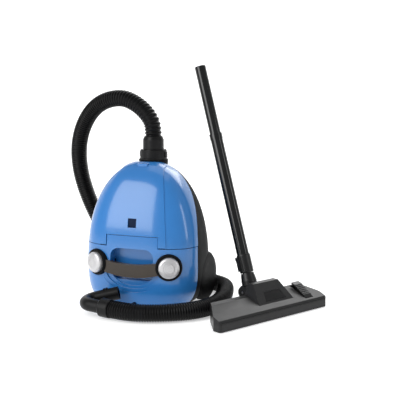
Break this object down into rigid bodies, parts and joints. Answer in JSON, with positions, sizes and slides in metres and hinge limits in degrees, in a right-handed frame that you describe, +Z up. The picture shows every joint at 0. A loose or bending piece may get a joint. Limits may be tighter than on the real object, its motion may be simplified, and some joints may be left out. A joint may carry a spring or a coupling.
{
  "type": "canister vacuum cleaner",
  "caption": "Canister vacuum cleaner parked upright on its rear end, with ribbed suction hose, bent grip, plain wand and combination floor head on the floor beside it.",
  "frame": {"origin": "Centre of the canister's flat rear rest face, on the floor", "axes": "+Z up along the canister from its rest face to the hose inlet, -Y the front with the dust lid and the two buttons, +Y the underside with wheels, +X to the right seen from the front"},
  "size_m": [0.6992, 0.4286, 0.5788],
  "materials": {
    "blue_shell": "glossy mid-blue moulded plastic",
    "charcoal_plastic": "dark charcoal moulded plastic with a fine grain",
    "handle_bronze": "dark warm grey satin metallic plastic",
    "button_silver": "silver lacquered plastic",
    "indicator_blue": "dark navy smoked window",
    "flag_red": "red moulded flag",
    "spring_steel": "bright drawn steel",
    "seal_rubber": "soft black rubber",
    "hose_black": "black corrugated flexible plastic",
    "fitting_black": "black moulded plastic",
    "wheel_plastic": "dark moulded plastic disc",
    "wheel_tread": "soft rubber band",
    "filter_foam": "white filter fleece",
    "bag_paper": "brown filter paper",
    "motor_metal": "spun aluminium",
    "motor_iron": "laminated iron core",
    "reel_plastic": "grey moulded plastic",
    "board_green": "green circuit board",
    "head_grey": "dark grey satin plastic",
    "sole_steel": "pressed steel sole plate",
    "bristle": "black bristle on a plastic strip",
    "wand_black": "glossy black rigid tube"
  },
  "bodies": {
    "canister": {"front_housing": "blue_shell", "chassis": "charcoal_plastic", "chassis_screws": "spring_steel", "lid_hinge_pins": "spring_steel", "carry_handle": "handle_bronze", "button_bezels": "charcoal_plastic", "button_springs": "spring_steel", "hose_connector": "fitting_black", "hose_cuff": "fitting_black", "hose": "hose_black", "grip_cuff": "fitting_black", "grip_tube": "fitting_black", "wheel_axles": "spring_steel", "bulkhead": "charcoal_plastic", "motor_filter": "filter_foam", "motor_seal": "seal_rubber", "fan_shroud": "motor_metal", "motor_case": "motor_metal", "motor_stator": "motor_iron", "motor_foot": "seal_rubber", "cord_reel_shaft": "spring_steel", "reel_spring_case": "reel_plastic", "dust_bag": "bag_paper", "bag_holder": "charcoal_plastic", "exhaust_filter": "filter_foam", "control_board": "board_green", "cord_outlet": "charcoal_plastic"},
    "lid": {"dust_lid": "blue_shell", "lid_seal": "seal_rubber", "indicator_window": "indicator_blue"},
    "latch": {"lid_latch": "blue_shell"},
    "flag": {"indicator_flag": "flag_red"},
    "power": {"power_button": "button_silver"},
    "rewind": {"cord_rewind_button": "button_silver"},
    "connector_left": {"connector_latch_left": "fitting_black"},
    "connector_right": {"connector_latch_right": "fitting_black"},
    "suction": {"suction_slider": "fitting_black"},
    "left_wheel": {"wheel_left": "wheel_plastic", "tyre_left": "wheel_tread"},
    "right_wheel": {"wheel_right": "wheel_plastic", "tyre_right": "wheel_tread"},
    "caster": {"caster_fork": "charcoal_plastic", "caster_pin": "spring_steel"},
    "caster_roller": {"caster_wheel": "wheel_plastic"},
    "rotor": {"motor_rotor": "motor_iron", "impeller": "motor_metal"},
    "reel": {"cord_reel_drum": "reel_plastic"},
    "floor_head": {"head_cover": "head_grey", "head_sole": "sole_steel", "roller_pins": "spring_steel", "neck_pins": "spring_steel"},
    "brushes": {"brush_strips": "bristle"},
    "pedal": {"head_pedal": "head_grey"},
    "roller_left": {"head_roller_left": "wheel_plastic"},
    "roller_right": {"head_roller_right": "wheel_plastic"},
    "neck": {"neck_pivot": "head_grey"},
    "swivel": {"neck_collar": "head_grey"},
    "catch": {"wand_catch": "head_grey"},
    "lower_wand": {"wand_lower": "wand_black"},
    "upper_wand": {"wand_upper": "wand_black"}
  },
  "joints": [
    {"name": "lid_hinge", "type": "hinge", "parent": "canister", "child": "lid", "pos_m": [0, -0.097, 0.159], "axis": [1, 0, 0], "range_deg": [0, 75]},
    {"name": "lid_latch_press", "type": "slide", "parent": "lid", "child": "latch", "axis": [0, 0, -1], "range_m": [0, 0.003], "stiffness_N_per_m": 300, "springref_m": -0.002},
    {"name": "indicator_slide", "type": "slide", "parent": "lid", "child": "flag", "axis": [1, 0, 0], "range_m": [0, 0.006]},
    {"name": "power_press", "type": "slide", "parent": "canister", "child": "power", "axis": [-0.4067, 0.9135, 0], "range_m": [0, 0.004], "stiffness_N_per_m": 600, "springref_m": -0.002},
    {"name": "rewind_press", "type": "slide", "parent": "canister", "child": "rewind", "axis": [0.4067, 0.9135, 0], "range_m": [0, 0.004], "stiffness_N_per_m": 600, "springref_m": -0.002},
    {"name": "connector_left_press", "type": "slide", "parent": "canister", "child": "connector_left", "axis": [1, 0, 0], "range_m": [0, 0.0015], "stiffness_N_per_m": 500, "springref_m": -0.001},
    {"name": "connector_right_press", "type": "slide", "parent": "canister", "child": "connector_right", "axis": [-1, 0, 0], "range_m": [0, 0.0015], "stiffness_N_per_m": 500, "springref_m": -0.001},
    {"name": "suction_slide", "type": "slide", "parent": "canister", "child": "suction", "axis": [0.9212, 0.3162, 0.2269], "range_m": [-0.005, 0.005]},
    {"name": "left_wheel_spin", "type": "hinge", "parent": "canister", "child": "left_wheel", "pos_m": [-0.129, 0.042, 0.062], "axis": [1, 0, 0], "continuous": true},
    {"name": "right_wheel_spin", "type": "hinge", "parent": "canister", "child": "right_wheel", "pos_m": [0.129, 0.042, 0.062], "axis": [1, 0, 0], "continuous": true},
    {"name": "caster_swivel", "type": "hinge", "parent": "canister", "child": "caster", "pos_m": [0, 0.07, 0.262], "axis": [0, 1, 0], "continuous": true},
    {"name": "caster_roll", "type": "hinge", "parent": "caster", "child": "caster_roller", "pos_m": [0, 0.0905, 0.253], "axis": [1, 0, 0], "continuous": true},
    {"name": "motor_spin", "type": "hinge", "parent": "canister", "child": "rotor", "pos_m": [-0.052, 0.008, 0.08], "axis": [0, 0, 1], "continuous": true},
    {"name": "reel_spin", "type": "hinge", "parent": "canister", "child": "reel", "pos_m": [0.046, 0.03, 0.07], "axis": [0, 1, 0], "continuous": true},
    {"name": "floor_head_push", "type": "slide", "parent": "canister", "child": "floor_head", "axis": [0.8829, -0.4695, 0], "range_m": [0, 0.06]},
    {"name": "pedal_tilt", "type": "hinge", "parent": "floor_head", "child": "pedal", "pos_m": [0.38844, 0.0504, 0.027], "axis": [-0.4695, -0.8829, 0], "range_deg": [0, 8.5]},
    {"name": "brush_drop", "type": "slide", "parent": "floor_head", "child": "brushes", "axis": [0, 0, -1], "range_m": [0, 0.0045]},
    {"name": "roller_left_spin", "type": "hinge", "parent": "floor_head", "child": "roller_left", "pos_m": [0.23631, -0.1292, 0.007], "axis": [0.4695, 0.8829, 0], "continuous": true},
    {"name": "roller_right_spin", "type": "hinge", "parent": "floor_head", "child": "roller_right", "pos_m": [0.33584, 0.05799, 0.007], "axis": [0.4695, 0.8829, 0], "continuous": true},
    {"name": "neck_tilt", "type": "hinge", "parent": "floor_head", "child": "neck", "pos_m": [0.26922, -0.01192, 0.048], "axis": [0.4695, 0.8829, 0], "range_deg": [-15, 15]},
    {"name": "neck_swivel", "type": "hinge", "parent": "neck", "child": "swivel", "pos_m": [0.25456, -0.00413, 0.09516], "axis": [-0.2933, 0.1559, 0.9432], "range_deg": [-90, 90]},
    {"name": "wand_catch_press", "type": "slide", "parent": "swivel", "child": "catch", "axis": [0.4695, 0.8829, 0], "range_m": [0, 0.0012], "stiffness_N_per_m": 400, "springref_m": -0.001},
    {"name": "lower_wand_pull", "type": "slide", "parent": "swivel", "child": "lower_wand", "axis": [-0.2933, 0.1559, 0.9432], "range_m": [0, 0.04]},
    {"name": "upper_wand_pull", "type": "slide", "parent": "lower_wand", "child": "upper_wand", "axis": [-0.2933, 0.1559, 0.9432], "range_m": [0, 0.045]}
  ],
  "couplings": [
    {"joint": "pedal_tilt", "follows": "brush_drop", "rad_per_m": 31.028}
  ]
}
